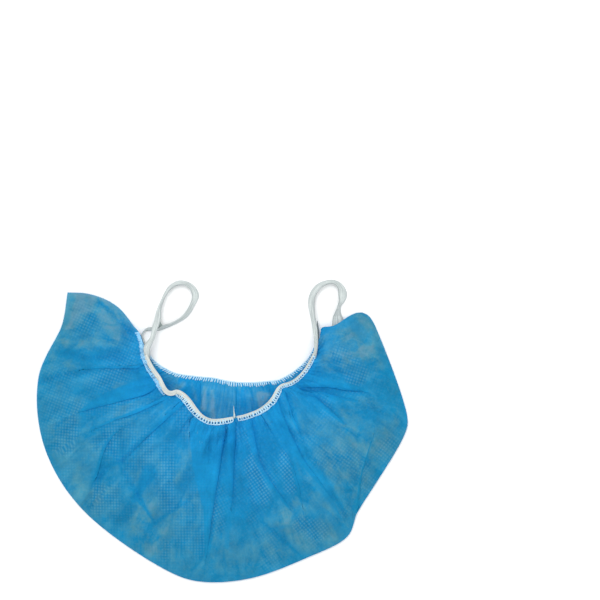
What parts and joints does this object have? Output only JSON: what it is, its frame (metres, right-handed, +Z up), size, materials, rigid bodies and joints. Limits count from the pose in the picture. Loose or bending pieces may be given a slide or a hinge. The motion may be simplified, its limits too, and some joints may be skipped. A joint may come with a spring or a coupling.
{
  "type": "disposable beard cover",
  "caption": "Gathered non-woven pouch lying flat, folded along its outer edge, with a narrow flat elastic round its open mouth that runs on at both ends as ear loops.",
  "frame": {"origin": "middle of the pouch's plan box, on the surface it lies on", "axes": "+X to the cover's right as seen from above, +Y from the hem towards the ear loops, +Z up from the surface"},
  "size_m": [0.252, 0.2061, 0.0376],
  "materials": {
    "pouch_cloth": "embossed non-woven, matt with a faint sheen",
    "front_elastic": "knitted white elastic, matt",
    "back_elastic": "knitted white elastic, matt",
    "left_ear_loop": "knitted white elastic, matt",
    "right_ear_loop": "knitted white elastic, matt"
  },
  "bodies": {
    "root": {"pouch": "pouch_cloth", "front_elastic": "front_elastic", "back_elastic": "back_elastic", "left_ear_loop": "left_ear_loop", "right_ear_loop": "right_ear_loop"}
  },
  "joints": []
}
